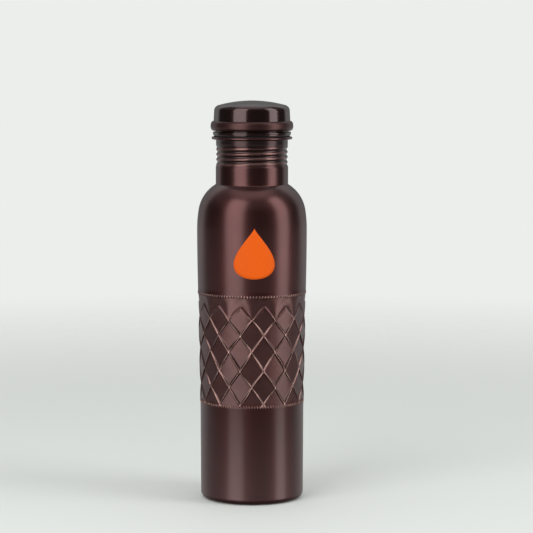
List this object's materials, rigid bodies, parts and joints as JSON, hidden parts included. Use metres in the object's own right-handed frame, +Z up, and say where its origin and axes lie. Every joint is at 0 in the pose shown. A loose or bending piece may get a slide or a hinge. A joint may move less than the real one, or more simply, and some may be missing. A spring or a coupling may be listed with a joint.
{
  "type": "metal water bottle",
  "caption": "Seamless copper water bottle with an embossed diamond band, a threaded neck and a screw-on domed lid that lifts clear.",
  "frame": {"origin": "centre of the foot, on the surface the bottle stands on", "axes": "+Z up along the bottle's axis, -Y to the front, where the printed mark is"},
  "size_m": [0.0746, 0.0746, 0.2707],
  "materials": {
    "antique_copper": "dark oxidised copper, satin lacquer, bright copper where the relief is rubbed",
    "polished_antique_copper": "dark oxidised copper, polished",
    "bare_copper": "bare copper, satin",
    "silicone": "matte black silicone",
    "orange_print": "flat orange printed mark"
  },
  "bodies": {
    "bottle": {"bottle_body": "antique_copper"},
    "seal": {"sealing_ring": "silicone"},
    "lid": {"threaded_plug": "bare_copper", "cap_shell": "polished_antique_copper"}
  },
  "joints": [
    {"name": "lid_lift", "type": "slide", "parent": "bottle", "child": "seal", "axis": [0, 0, 1], "range_m": [0, 0.02765]},
    {"name": "lid_turn", "type": "hinge", "parent": "seal", "child": "lid", "pos_m": [0, 0, 0.2467], "axis": [0, 0, 1], "range_deg": [0, 2880]}
  ],
  "couplings": [
    {"joint": "lid_lift", "follows": "lid_turn", "m_per_rad": 0.00054909}
  ]
}
